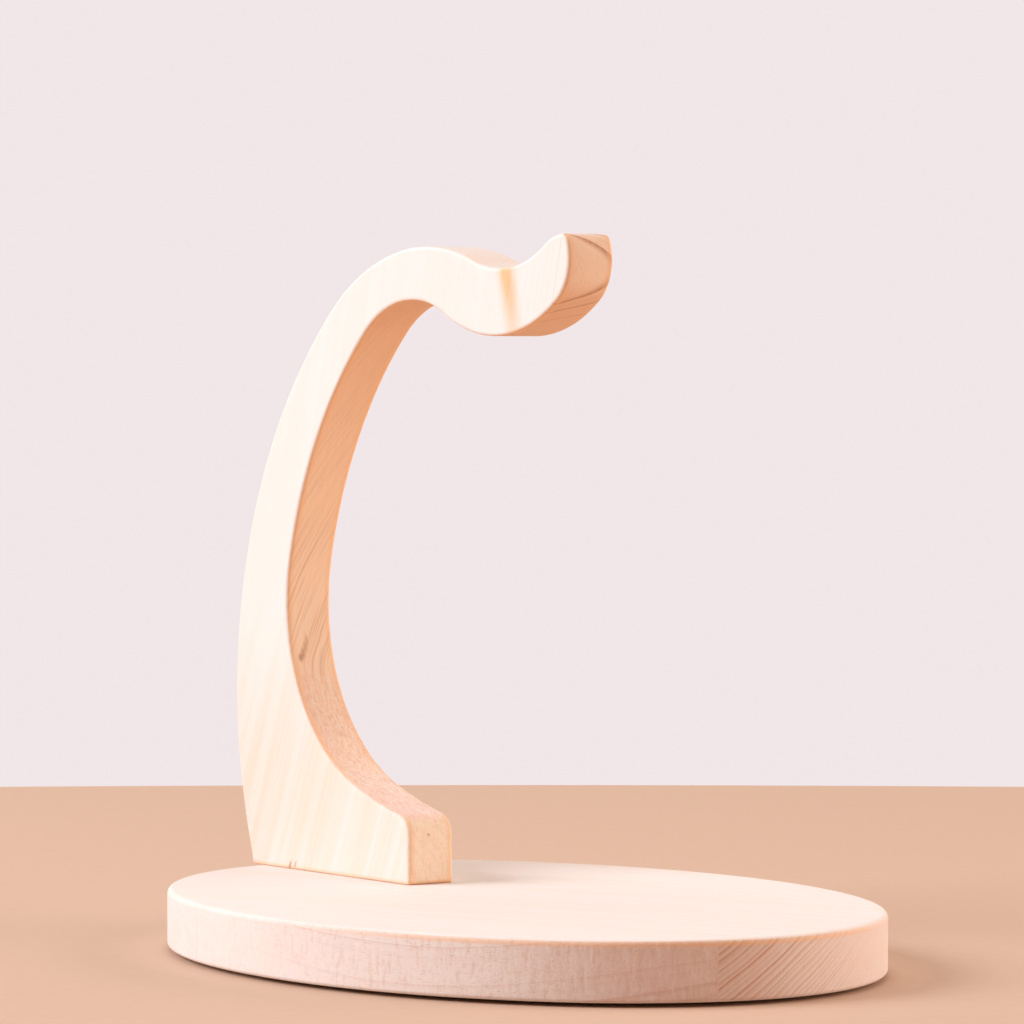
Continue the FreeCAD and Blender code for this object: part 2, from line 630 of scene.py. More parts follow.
@dataclass(frozen=True)
class ArmWood:
    """The arm's wood: bright flat faces, amber sawn edges and a few dark rings.

    Attributes:
        trunk: How the board lay in the tree.
        half_thickness: Half the board's thickness, in millimetres.
        foot_z: Height of the foot's lower face, in millimetres.
        band: A point on a broad amber band, in millimetres.
        band_lean: How far the band moves back for each millimetre up.
        tones: The wood's colours.
        band_colour: The band's colour.
        ring_width: Mean distance from ring to ring, in millimetres.
        streaks: Rings that stand out.
        marks: Small brown flecks.
    """

    trunk: Trunk
    half_thickness: float
    foot_z: float
    band: Vector
    tones: Tones = Tones(pale=(0.83, 0.785, 0.745), warm=(0.82, 0.67, 0.54))
    band_lean: float = 0.21
    band_colour: Colour = (0.84, 0.48, 0.24)
    ring_width: float = 1.3
    streaks: tuple[Streak, ...] = ()
    marks: tuple[Mark, ...] = ()

    def material(self) -> bpy.types.Material:
        """Build the node material.

        Returns:
            The material.
        """
        material, g = new_material("arm_wood")
        f = Figure(g, self.trunk, self.ring_width)
        x, y, z = g.split(f.point)
        parts = ArmParts.of(g, x, z)
        fine = f.fibres(0.65, 28.0, 3.0)
        hair = f.fibres(0.20, 8.0)
        pore = f.pores(0.32, 2.4)
        colour, strokes = self.sawn_edge(f, parts, fine)
        colour = self.amber_band(f, parts.rim, fine, colour)
        colour, torn = self.low_edge(f, parts, pore, colour)

        # painted contact shade along the foot's lower edge, where it stands on the base, and knots
        tones = self.tones
        painted_seam_shade = (z - self.foot_z).ramp(0.8, 0.25)
        flecks = ((f.mark(mark, hair), tones.knot) for mark in self.marks)
        colour = g.layers(colour, (painted_seam_shade * 0.55, tones.deep_orange), *flecks)

        # painted warm glow on the inner sawn edge, where it turns into the flat faces
        deep_orange = parts.inner * (self.half_thickness - abs(y)).ramp(1.5, 0.5)
        colour = g.mix(deep_orange * 0.50, colour, tones.deep_orange)

        fuzz = g.noise(g.scaled(f.point, 3.5), 3.0, 0.6)
        height = hair * 0.010 + fine * 0.012 - pore * 0.020 + fuzz * 0.008 + strokes + torn
        g.surface(
            Base_Color=colour,
            Roughness=0.60 + fine * 0.12 + parts.rim * 0.06 - deep_orange * 0.08,
            Normal=g.bump(height, 0.9),
            **WOOD_SURFACE,
        )
        return material

    def sawn_edge(
        self, f: Figure, parts: ArmParts, fine: Value
    ) -> tuple[bpy.types.NodeSocket, Value]:
        """Colour the flat faces and the sawn edge, which is less sanded inside the hook.

        Args:
            f: The board's pattern.
            parts: The arm's parts.
            fine: Fine streaks along the grain.

        Returns:
            The colour, and the height of the saw's strokes in millimetres.
        """
        g, tones = f.graph, self.tones
        rim, inner, foot, toe, hook = parts.rim, parts.inner, parts.foot, parts.toe, parts.hook
        x, y, z = g.split(f.point)

        # strokes run straight up, and lean over below the bend of the stem
        stem_bend = z - 39.0
        slant = y - stem_bend * stem_bend.ramp(-3.0, 5.0) * 0.46
        lines = g.noise(g.join(slant * 2.3, z * 0.05, x * 0.03), 2.0, 0.6)
        thin = g.noise(g.join(slant * 5.5, z * 0.11, x * 0.08), 2.0, 0.6)

        # rings are faint up the flat face and plainer at the foot
        rings = f.rings * (0.04 + foot * 0.08 + rim * 0.10)
        cream = (0.16 + foot * 0.30) * f.fibres(2.8, 95.0).ramp(0.30, 0.70)
        up = g.upright()
        ledge = rim * up.ramp(0.45, 0.9) * z.ramp(26.0, 18.0)
        # painted shade: sawn edges that face down are laid in a deep orange
        under = rim * (-up).ramp(0.35, 0.9)
        dusty = rim * up.ramp(0.50, 0.90) * z.ramp(80.0, 90.0)
        colour = g.layers(
            g.mix(cream + foot * 0.40, tones.pale, tones.warm),
            (fine.ramp(0.45, 0.85) * (0.06 + foot * 0.12), tones.late),
            # the sawn edge's own amber, laid thicker on the shaded inner edge as painted warm
            # bounce light
            (rim * 0.14 + inner * (0.58 - toe * 0.45 - hook * 0.30), tones.amber),
            (dusty * 0.24, tones.dull),
            (inner * hook * y.ramp(1.0, -4.0) * 0.22, tones.brown),
            # painted warm bounce light on the upper inner edge
            (inner * z.ramp(44.0, 74.0) * 0.30, tones.deep_orange),
            (inner * z.ramp(44.0, 30.0) * (0.40 - toe * 0.35), tones.blush),
            (ledge * 0.80, tones.blush),
            # painted light bounced up from the base onto the toe's front face
            (toe * inner * 0.70, tones.toe),
            (under * 0.62, tones.under),
            (rings, tones.late),
            *((f.streak(item, fine) * (0.12 + rim * 0.88), tones.line) for item in self.streaks),
            (parts.sawn * lines.ramp(0.48, 0.70) * 0.60, tones.late),
            (parts.sawn * thin.ramp(0.52, 0.78) * 0.50, tones.late),
            (parts.sawn * lines.ramp(0.46, 0.28) * 0.30, tones.pale),
        )
        return colour, parts.sawn * (lines * 0.030 + thin * 0.012)

    def amber_band(
        self, f: Figure, rim: Value, fine: Value, colour: bpy.types.NodeSocket
    ) -> bpy.types.NodeSocket:
        """Lay the broad amber band that runs down through the dip.

        Args:
            f: The board's pattern.
            rim: The sawn edge, where the band is fainter.
            fine: Fine streaks along the grain.
            colour: The colour underneath.

        Returns:
            The colour with the band.
        """
        g = f.graph
        x, _, z = g.split(f.point)
        rise = z - self.band.z
        beside = x - self.band.x + rise * self.band_lean
        band = beside.line(0.3, 3.4) ** 1.2
        band = band * (0.45 + rise.ramp(-9.0, 0.0) * 0.55) * (0.75 + fine * 0.5)
        core = beside.line(-0.3, 1.3) * rise.ramp(-3.6, 0.2)
        return g.layers(
            colour,
            (band * (1.0 - rim * 0.6) * 0.95, self.band_colour),
            (core * (1.0 - rim * 0.4) * 0.70, self.tones.deep_orange),
        )

    def low_edge(
        self, f: Figure, parts: ArmParts, pore: Value, colour: bpy.types.NodeSocket
    ) -> tuple[bpy.types.NodeSocket, Value]:
        """Lay the pores, the speckle low on the inner edge where the fibres end, and painted shade
        on that edge's near half.

        Args:
            f: The board's pattern.
            parts: The arm's parts.
            pore: The wood's pores.
            colour: The colour underneath.

        Returns:
            The colour, and the height of the torn fibres in millimetres.
        """
        g, tones, low = f.graph, self.tones, parts.low
        x, y, z = g.split(f.point)
        torn = g.noise(g.join(y * 2.6, z * 0.75, x * 0.75), 3.0, 0.65)
        speck = g.cells(g.scaled(f.point, 2.6)).ramp(0.30, 0.10)
        grit = g.noise(g.scaled(f.point, 1.7), 3.0, 0.65)
        colour = g.layers(
            colour,
            (pore * (0.06 + parts.rim * 0.14), tones.pore),
            (low * speck * 0.28, tones.pore),
            (low * grit.ramp(0.50, 0.68) * 0.40, tones.pale),
            (low * grit.ramp(0.50, 0.32) * 0.24, tones.late),
            (low * torn.ramp(0.50, 0.66) * 0.34, tones.pale),
            (low * torn.ramp(0.50, 0.34) * 0.34, tones.brown),
            # painted shade on the near half of the low inner edge
            (low * y.ramp(1.5, -3.5) * z.ramp(17.0, 24.0) * 0.12, tones.brown),
        )
        return colour, low * (grit * 0.03 + torn * 0.06)


@dataclass(frozen=True)
class BoardWood:
    """The base's wood: two boards glued edge to edge, their rings cut at two slants.

    Attributes:
        main: How the wide board lay in the tree.
        front: How the narrow front board lay in its own.
        joint: A point on the glue line, in millimetres.
        high_z: Height of the board's upper face, in millimetres.
        tones: The wood's colours.
        ring_width: Mean distance from ring to ring in the wide board, in millimetres.
        front_ring_width: The same in the front board.
    """

    main: Trunk
    front: Trunk
    joint: Vector
    high_z: float
    tones: Tones = Tones()
    ring_width: float = 0.68
    front_ring_width: float = 3.4

    def material(self) -> bpy.types.Material:
        """Build the node material.

        Returns:
            The material.
        """
        material, g = new_material("base_wood")
        f = Figure(g, self.main, self.ring_width)
        n = Figure(g, self.front, self.front_ring_width)
        tones = self.tones
        x, y, z = g.split(f.point)
        rim = abs(g.upright()).ramp(0.75, 0.45)
        front = x.ramp(-5.0, 30.0)
        # painted shade on the rim towards the front end, strongest on its near side
        heart = x.ramp(40.0, 61.0) * (1.0 - y.ramp(-8.0, 2.0) * 0.65)
        level = Vector((0, 0, 1)).cross(self.main.grain)
        beyond = g.along(f.point, level) - self.joint.dot(level)
        in_main = beyond.ramp(-0.05, 0.05)
        glue = beyond.line(0.0, 0.12)
        fine = f.fibres(0.6, 22.0, 3.0)
        hair = f.fibres(0.18, 5.0)

        # rings: crisp where the fibres end at the rim, nearly gone on the flat face
        cut = rim * f.end_face * y.ramp(22.0, -4.0) * (0.12 + front * 0.88)
        main_rings = f.rings * (0.05 + cut * 1.3)
        front_rings = n.rings * (0.04 + rim * front * 0.36)
        rings = main_rings * in_main + front_rings * (1.0 - in_main)

        # pores and end-grain speckle
        pore = f.pores(0.34, 2.6)
        speck = g.cells(g.scaled(f.point, 3.1)).ramp(0.28, 0.10) * rim

        # the belt sander's upright strokes on the rim, broken up along their length
        stroke = g.noise(g.join(x * 1.55, y * 1.55, z * 0.35), 2.0, 0.5)
        crumb = g.noise(g.scaled(f.point, 1.8), 2.0, 0.6)
        weave = stroke * 0.6 + crumb * 0.4
        sanded = rim * (1.0 - f.end_face * in_main * 0.75) * (0.3 + front * 0.7)

        # painted warm glow just under the eased upper edge, mostly towards the front end
        reach = x.ramp(10.0, 45.0) * y.ramp(26.0, 6.0)
        deep_orange = rim * (self.high_z - z).ramp(1.25, 0.75) * (0.10 + reach * 0.90)

        colour = g.layers(
            g.mix(f.fibres(3.0, 80.0).ramp(0.35, 0.75) * 0.30, tones.pale, tones.warm),
            (fine.ramp(0.45, 0.85) * 0.24, tones.warm),
            (hair.ramp(0.50, 0.80) * 0.14, tones.late),
            # painted shade on the rim towards the front end
            (rim * front * 0.05, tones.end),
            (rim * heart * 0.40, tones.brown),
            (rings, tones.line),
            (glue * (0.06 + rim * 0.22), tones.late),
            (pore * (0.10 + rim * 0.10), tones.pore),
            (speck * 0.12, tones.pore),
            (sanded * weave.ramp(0.50, 0.64) * 0.34, tones.pale),
            (sanded * weave.ramp(0.50, 0.36) * 0.26, tones.late),
            (deep_orange * 0.50, tones.deep_orange),
        )
        fuzz = g.noise(g.scaled(f.point, 3.5), 3.0, 0.6)
        height = hair * 0.010 + fine * 0.010 - pore * 0.022 - speck * 0.02
        height = height + fuzz * 0.010 - rings * 0.020 + sanded * weave * 0.090 - glue * 0.010
        g.surface(
            Base_Color=colour,
            Roughness=0.62 + fine * 0.12 + rim * 0.06,
            Normal=g.bump(height, 0.9),
            **WOOD_SURFACE,
        )
        return material


@dataclass(frozen=True)
class SteelFinish:
    """Zinc-plated steel with a turned head."""

    name: str = "zinc_steel"
    bright: Colour = (0.74, 0.75, 0.76)
    dull: Colour = (0.52, 0.50, 0.46)

    def material(self) -> bpy.types.Material:
        """Build the node material.

        Returns:
            The material.
        """
        material, g = new_material(self.name)
        point = g.position_mm()
        cloud = g.noise(g.scaled(point, 0.9), 4.0, 0.6)
        grit = g.noise(g.scaled(point, 6.0), 3.0, 0.6)
        scratch = g.noise(g.vector("MULTIPLY", point, (12.0, 1.2, 6.0)).outputs[0], 2.0)
        colour = g.mix(cloud.ramp(0.35, 0.75) * 0.7, self.bright, self.dull)
        g.surface(
            Base_Color=colour,
            Metallic=1.0,
            Roughness=0.24 + cloud * 0.22 + scratch.ramp(0.55, 0.8) * 0.10,
            Normal=g.bump(grit * 0.012 + scratch * 0.008, 0.8),
        )
        return material


@dataclass(frozen=True)
class FeltFinish:
    """Pressed felt, warm grey, with fibres of two tones."""

    name: str = "pressed_felt"
    body: Colour = (0.34, 0.29, 0.24)
    fleck: Colour = (0.55, 0.49, 0.42)
    dark: Colour = (0.16, 0.13, 0.11)

    def material(self) -> bpy.types.Material:
        """Build the node material.

        Returns:
            The material.
        """
        material, g = new_material(self.name)
        point = g.position_mm()
        curl = g.noise(g.scaled(point, 2.2), 5.0, 0.7, 1.6)
        tangle = g.noise(g.scaled(point, 5.0), 4.0, 0.7, 2.4)
        colour = g.mix(curl.ramp(0.40, 0.70), self.dark, self.body)
        colour = g.mix(tangle.ramp(0.55, 0.72) * 0.7, colour, self.fleck)
        g.surface(
            Base_Color=colour,
            Roughness=0.90 + curl * 0.08,
            Normal=g.bump(curl * 0.06 + tangle * 0.05, 1.0),
            Sheen_Weight=0.35,
            Sheen_Roughness=0.5,
        )
        return material


Finish = ArmWood | BoardWood | SteelFinish | FeltFinish


# --------------------------------------------------------------------------------------
# Mesh helpers
# --------------------------------------------------------------------------------------


def smooth_noise(seed: int, place: float, wavelength: float) -> float:
    """Gentle noise from -1 to 1 along a line.

    Args:
        seed: Picks one line of noise.
        place: Distance along the line.
        wavelength: Distance over which it changes.

    Returns:
        The noise.
    """
    return noise.noise(Vector((place / wavelength, 3.7 * seed, 1.3)))


def add_object(name: str, mesh: bpy.types.Mesh) -> bpy.types.Object:
    """Link a mesh to the scene as an object at the origin.

    Args:
        name: The object's name.
        mesh: Its mesh.

    Returns:
        The object.
    """
    made = bpy.data.objects.new(name, mesh)
    bpy.context.scene.collection.objects.link(made)
    return made


def grid_faces(work: bmesh.types.BMesh, rows: Sequence[Sequence[bmesh.types.BMVert]]) -> None:
    """Join closed rows of vertices, each to the next, with four-sided faces.

    Args:
        work: The bmesh.
        rows: The rows, all of one length.
    """
    for lower, upper in zip(rows, rows[1:]):
        count = len(lower)
        for i in range(count):
            j = (i + 1) % count
            work.faces.new((lower[i], lower[j], upper[j], upper[i]))


def fill_flat(work: bmesh.types.BMesh, rim: Sequence[bmesh.types.BMVert]) -> None:
    """Fill a flat, upright outline with even triangles.

    Args:
        work: The bmesh.
        rim: The outline's vertices in order, all at one Y.
    """
    flat = [vertex.co.xz for vertex in rim]
    edges = [(i, (i + 1) % len(rim)) for i in range(len(rim))]
    for triangle in delaunay_2d_cdt(flat, edges, [], 1, 1e-9)[2]:
        work.faces.new([rim[i] for i in triangle])


def finish_mesh(work: bmesh.types.BMesh, name: str) -> bpy.types.Mesh:
    """Turn a bmesh into a mesh with outward faces.

    Args:
        work: The bmesh. It is freed.
        name: The mesh's name.

    Returns:
        The mesh.
    """
    bmesh.ops.recalc_face_normals(work, faces=work.faces)
    mesh = bpy.data.meshes.new(name)
    work.to_mesh(mesh)
    work.free()
    return mesh


def shade(piece: bpy.types.Object, angle: float = 32.0) -> None:
    """Smooth shading that keeps real corners and flat faces.

    Args:
        piece: The object to shade. Its modifiers are applied.
        angle: Corners sharper than this stay sharp, in degrees.
    """
    piece.data.shade_smooth()
    piece.data.set_sharp_from_angle(angle=math.radians(angle))
    weighted = piece.modifiers.new("weighted", "WEIGHTED_NORMAL")
    weighted.keep_sharp = True
    weighted.weight = 90
    bake_modifiers(piece)


def bake_modifiers(piece: bpy.types.Object) -> None:
    """Replace an object's mesh by its evaluated one and drop its modifiers.

    Args:
        piece: The object.
    """
    bpy.context.view_layer.update()
    evaluated = piece.evaluated_get(bpy.context.evaluated_depsgraph_get())
    mesh = bpy.data.meshes.new_from_object(evaluated)
    piece.modifiers.clear()
    piece.data = mesh


def dress(piece: bpy.types.Object, finish: Finish) -> None:
    """Give an object one finish all over."""
    piece.data.materials.clear()
    piece.data.materials.append(finish.material())


def cut_away(piece: bpy.types.Object, tool: bpy.types.Object) -> None:
    """Cut one closed mesh out of another and delete the tool.

    Args:
        piece: The object that is cut.
        tool: The cutter.
    """
    cut = piece.modifiers.new("cut", "BOOLEAN")
    cut.operation = "DIFFERENCE"
    cut.solver = "EXACT"
    cut.object = tool
    bake_modifiers(piece)
    bpy.data.objects.remove(tool)


def lathe(name: str, profile: Sequence[tuple[float, float]], places: Iterable[Vector],
          segments: int = 48) -> bpy.types.Object:
    """Closed turned shapes about upright axes, all in one mesh.

    Args:
        name: The object's name.
        profile: (radius, height) pairs from the lowest to the highest, closed by flat ends.
        places: Where each axis stands.
        segments: Faces round each shape.

    Returns:
        The object.
    """
    work = bmesh.new()
    for place in places:
        rows = []
        for radius, height in profile:
            rows.append([
                work.verts.new(place + Vector((radius * math.cos(TAU * k / segments),
                                               radius * math.sin(TAU * k / segments), height)))
                for k in range(segments)
            ])
        grid_faces(work, rows)
        work.faces.new(rows[0])
        work.faces.new(rows[-1])
    return add_object(name, finish_mesh(work, name))


# --------------------------------------------------------------------------------------
# The stand
# --------------------------------------------------------------------------------------


@dataclass
class ScrewHoles:
    """The two screws' axes and the holes that they need.

    Attributes:
        head_radius: Radius of a countersunk head.
        shank_radius: Outer radius of the thread.
        length: A screw's whole length.
        point_length: Length of its point.
        sink: How far a head lies below the board's face.
        clearance: Radial room round the shank in the board.
        fit: Radial room round the thread in the arm.
    """

    head_radius: float = 3.0 * MM
    shank_radius: float = 1.5 * MM
    length: float = 16.0 * MM
    point_length: float = 2.8 * MM
    sink: float = 0.2 * MM
    clearance: float = 0.2 * MM
    fit: float = 0.02 * MM

    def axes(self) -> list[Vector]:
        """Where each screw's head face is centred.

        Returns:
            One point for each screw.
        """
        places = []
        for node in ("front_screw", "rear_screw"):
            low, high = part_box(node)
            places.append(Vector(((low.x + high.x) / 2, (low.y + high.y) / 2, low.z)))
        return places

    def board_drill(self, board_top: float) -> bpy.types.Object:
        """A cutter for the board: countersink and clearance hole, past both faces.

        Args:
            board_top: Height of the board's upper face.

        Returns:
            The cutter.
        """
        spare = 0.5 * MM
        radius = self.shank_radius + self.clearance
        mouth = self.head_radius + self.sink
        bottom = -self.sink
        top = board_top - self.axes()[0].z
        profile = [(mouth + spare, bottom - spare), (mouth, bottom),
                   (radius, bottom + mouth - radius), (radius, top + spare)]
        return lathe("board_drill", profile, self.axes())

    def arm_drill(self, board_top: float) -> bpy.types.Object:
        """A cutter for the arm's foot: the thread's hole and its point.

        Args:
            board_top: Height of the board's upper face.

        Returns:
            The cutter.
        """
        spare = 0.5 * MM
        radius = self.shank_radius + self.fit
        bottom = board_top - self.axes()[0].z
        straight = self.length - self.point_length
        profile = [(radius, bottom - spare), (radius, straight),
                   (0.05 * MM, self.length + 2 * self.fit)]
        return lathe("arm_drill", profile, self.axes())


@dataclass(frozen=True)
class Edge:
    """One eased edge of the board: its height, its mean radius and its own unevenness."""

    height: float
    easing: float
    seed: int


@dataclass
class BaseBoard:
    """The flat oval board, its edges eased by hand.

    Attributes:
        easing: Mean radius of the upper edge.
        lower_easing: Mean radius of the lower edge.
        uneven: How much the easing varies, as a share.
        segments: Vertices round the oval.
        corner_steps: Faces across an eased edge.
        wall_steps: Faces up the wall.
        rings: Rings of faces on the flat faces.
    """

    easing: float = 0.8 * MM
    lower_easing: float = 0.6 * MM
    uneven: float = 0.22
    segments: int = 420
    corner_steps: int = 6
    wall_steps: int = 5
    rings: int = 9
    low: Vector = field(init=False)
    high: Vector = field(init=False)

    def __post_init__(self) -> None:
        """Take the board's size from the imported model."""
        self.low, self.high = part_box("base_plate")

    @property
    def centre(self) -> Vector:
        """The middle of the board."""
        return (self.low + self.high) / 2

    def edge_point(self, angle: float, inset: float, height: float) -> Vector:
        """A point inside the oval's outline, measured square to it.

        Args:
            angle: The oval's own angle.
            inset: Distance inside the outline.
            height: Z of the point.

        Returns:
            The point.
        """
        half_x = (self.high.x - self.low.x) / 2
        half_y = half_x * BOARD_SHAPE
        outward = Vector((half_y * math.cos(angle), half_x * math.sin(angle), 0)).normalized()
        x = self.centre.x + half_x * math.cos(angle) - outward.x * inset
        y = half_y * math.sin(angle) - outward.y * inset
        return Vector((x, y, height))

    @property
    def lower(self) -> Edge:
        """The lower edge."""
        return Edge(self.low.z, self.lower_easing, 2)

    @property
    def upper(self) -> Edge:
        """The upper edge."""
        return Edge(self.high.z, self.easing, 1)

    @property
    def angles(self) -> list[float]:
        """The oval's own angle at each vertex."""
        return [TAU * i / self.segments for i in range(self.segments)]

    def eased(self, angle: float, edge: Edge) -> float:
        """The easing radius at a place round the board."""
        slow = smooth_noise(edge.seed, math.cos(angle) * 2 + math.sin(angle) * 3, 1.1)
        return edge.easing * (1 + self.uneven * slow)

    def flat_rows(self, edge: Edge) -> list[list[Vector]]:
        """Rings of points on a flat face, from its middle to its eased edge.

        Args:
            edge: The face's edge.

        Returns:
            The rings.
        """
        rows = []
        for k in range(1, self.rings):
            share = (k / self.rings) ** 0.8
            middle = self.centre.xy.to_3d() * (1 - share)
            level = Vector((0, 0, edge.height * (1 - share)))
            rows.append([
                middle + self.edge_point(a, self.eased(a, edge), edge.height) * share + level
                for a in self.angles
            ])
        return rows

    def corner_rows(self, edge: Edge, upward: float) -> list[list[Vector]]:
        """Rings of points over an eased edge, from the lowest to the highest.

        Args:
            edge: The edge.
            upward: 1 for the upper edge and -1 for the lower.

        Returns:
            The rings.
        """
        rows = []
        for k in range(self.corner_steps + 1):
            turn = math.pi / 2 * k / self.corner_steps
            turn = turn if upward > 0 else math.pi / 2 - turn
            row = []
            for a in self.angles:
                radius = self.eased(a, edge)
                drop = radius * (1 - math.sin(turn))
                inset = radius * (1 - math.cos(turn))
                row.append(self.edge_point(a, inset, edge.height - upward * drop))
            rows.append(row)
        return rows

    def wall_rows(self) -> list[list[Vector]]:
        """Rings of points up the wall, between the eased edges.

        Returns:
            The rings, from the lowest to the highest.
        """
        rows = []
        for k in range(1, self.wall_steps):
            row = []
            for a in self.angles:
                start = self.low.z + self.eased(a, self.lower)
                end = self.high.z - self.eased(a, self.upper)
                height = start + (end - start) * (k / self.wall_steps)
                row.append(self.edge_point(a, 0.0, height))
            rows.append(row)
        return rows

    def build(self, holes: ScrewHoles, finish: Finish) -> bpy.types.Object:
        """Make the board with its screw holes and wood.

        Args:
            holes: The screws' holes.
            finish: The wood.

        Returns:
            The finished object.
        """
        work = bmesh.new()
        rings = (
            self.flat_rows(self.lower) + self.corner_rows(self.lower, -1.0) + self.wall_rows()
            + self.corner_rows(self.upper, 1.0) + self.flat_rows(self.upper)[::-1]
        )
        rows = [[work.verts.new(point) for point in ring] for ring in rings]
        grid_faces(work, rows)
        for ring, height in ((rows[0], self.low.z), (rows[-1], self.high.z)):
            middle = work.verts.new((self.centre.x, 0, height))
            for i, vertex in enumerate(ring):
                work.faces.new((vertex, ring[(i + 1) % len(ring)], middle))
        piece = add_object("oval_base", finish_mesh(work, "oval_base"))
        cut_away(piece, holes.board_drill(self.high.z))
        shade(piece)
        dress(piece, finish)
        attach(piece, BODY)
        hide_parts("base_plate")
        return piece


@dataclass
class Bend:
    """One arc of the arm's outline: a radius, and a turn in degrees, left positive."""

    radius: float
    turn: float


@dataclass
class HookArm:
    """The curved arm, sawn from one board and eased along its edges.

    The outline starts at the heel and is walked up the back, over the crown and the tip,
    under the hook and down to the toe. Each arc is tangent to the one before it.

    Attributes:
        overhang: How far the heel stands out past the base's end.
        heel_rounding: Radius of the heel's lower corner.
        heel_heading: Way the back sets off from the heel, in degrees from +X.
        bends: The arcs from the back to the foot's slope.
        toe_rounding: Radius of the toe's upper corner.
        foot_rounding: Radius of the toe's lower corner.
        easing: Mean radius of the edges.
        foot_easing: The same at the foot's lower face.
        easing_rise: Height over which the easing grows from one to the other.
        uneven: How much the easing varies, as a share.
        step: Distance between the outline's points.
        corner_steps: Faces across an eased edge.
        wall_steps: Faces across the board's thickness.
    """

    overhang: float = 2.1 * MM
    heel_rounding: float = 0.6 * MM
    heel_heading: float = 110.0
    bends: tuple[Bend, ...] = (
        Bend(77.0 * MM, -68.5),
        Bend(37.0 * MM, -62.0),
        Bend(18.75 * MM, 55.0),
        Bend(8.0 * MM, -30.0),
        Bend(1.5 * MM, -73.0),
        Bend(7.25 * MM, -76.0),
        Bend(26.0 * MM, -64.0),
        Bend(18.0 * MM, 70.5),
        Bend(67.0 * MM, 34.5),
        Bend(28.5 * MM, 82.0),
        Bend(76.0 * MM, 9.5),
    )
    toe_rounding: float = 3.2 * MM
    foot_rounding: float = 0.5 * MM
    easing: float = 0.6 * MM
    foot_easing: float = 0.35 * MM
    easing_rise: float = 2.0 * MM
    uneven: float = 0.25
    step: float = 0.55 * MM
    corner_steps: int = 6
    wall_steps: int = 8
    low: Vector = field(init=False)
    high: Vector = field(init=False)

    def __post_init__(self) -> None:
        """Take the arm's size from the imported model."""
        self.low, self.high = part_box("support_arm")

    def outline(self) -> list[Vector]:
        """The side view as points in X and Z, evenly spaced along each stretch.

        Returns:
            The points, clockwise with X to the right and Z up.
        """
        place = Vector((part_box("base_plate")[0].x - self.overhang + self.heel_rounding,
                        self.low.z))
        heading = math.pi
        points = [place.copy()]

        def bend(radius: float, turn: float) -> None:
            """Walk along an arc, tangent to the last stretch.

            Args:
                radius: The arc's radius.
                turn: Its turn in radians, left positive.
            """
            nonlocal place, heading
            side = math.copysign(1.0, turn)
            centre = place + side * radius * Vector((-math.sin(heading), math.cos(heading)))
            count = max(6, round(radius * abs(turn) / self.step))
            for k in range(1, count + 1):
                angle = heading + turn * k / count
                place = centre - side * radius * Vector((-math.sin(angle), math.cos(angle)))
                points.append(place.copy())
            heading += turn

        def run(end: Vector) -> None:
            """Walk straight to a point.

            Args:
                end: The point.
            """
            nonlocal place
            count = max(1, round((end - place).length / self.step))
            points.extend([place.lerp(end, k / count) for k in range(1, count + 1)])
            place = end

        bend(self.heel_rounding, math.radians(self.heel_heading - 180.0))
        for item in self.bends:
            bend(item.radius, math.radians(item.turn))
        bend(self.toe_rounding, -math.pi / 2 - heading)
        run(Vector((place.x, self.low.z + self.foot_rounding)))
        bend(self.foot_rounding, -math.pi / 2)
        run(points[0])
        return points[:-1]

    def inward(self, points: Sequence[Vector]) -> list[Vector]:
        """For each outline point, how it moves when the outline is drawn 1 further in.

        Args:
            points: The outline.

        Returns:
            One move for each point.
        """
        moves = []
        for i, point in enumerate(points):
            before = (point - points[i - 1]).normalized()
            after = (points[(i + 1) % len(points)] - point).normalized()
            first = Vector((before.y, -before.x))
            second = Vector((after.y, -after.x))
            middle = (first + second).normalized()
            moves.append(middle / max(0.5, middle.dot(first)))
        return moves

    def easings(self, points: Sequence[Vector], side: int) -> list[float]:
        """The easing radius at each outline point, on one side of the board.

        Args:
            points: The outline.
            side: -1 or 1.

        Returns:
            The radii.
        """
        radii = []
        run = 0.0
        for i, point in enumerate(points):
            run += (point - points[i - 1]).length
            lift = min(1.0, (point.y - self.low.z) / self.easing_rise)
            mean = self.foot_easing + (self.easing - self.foot_easing) * lift
            slow = smooth_noise(5 + side, run, 17 * MM)
            quick = smooth_noise(9 + side, run, 4 * MM)
            radii.append(mean * (1 + self.uneven * (slow + 0.4 * quick)))
        return radii

    def profile(self) -> list[tuple[int, float, float, float]]:
        """The rows across the board's thickness, from one flat face to the other.

        Returns:
            For each row, the side whose easing it takes; how many easing radii it lies
            inside the outline; its place across the board, from -1 to 1; and how many
            easing radii that place is short of the flat face.
        """
        quarter = math.pi / 2
        turns = [quarter * k / self.corner_steps for k in range(self.corner_steps + 1)]
        corner = [(1 - math.cos(turn), 1 - math.sin(turn)) for turn in turns]
        rows = [(-1, inset, -1.0, drop) for inset, drop in reversed(corner)]
        for k in range(1, self.wall_steps):
            share = 2 * k / self.wall_steps - 1
            rows.append((-1 if share < 0 else 1, 0.0, share, 1.0))
        return rows + [(1, inset, 1.0, drop) for inset, drop in corner]

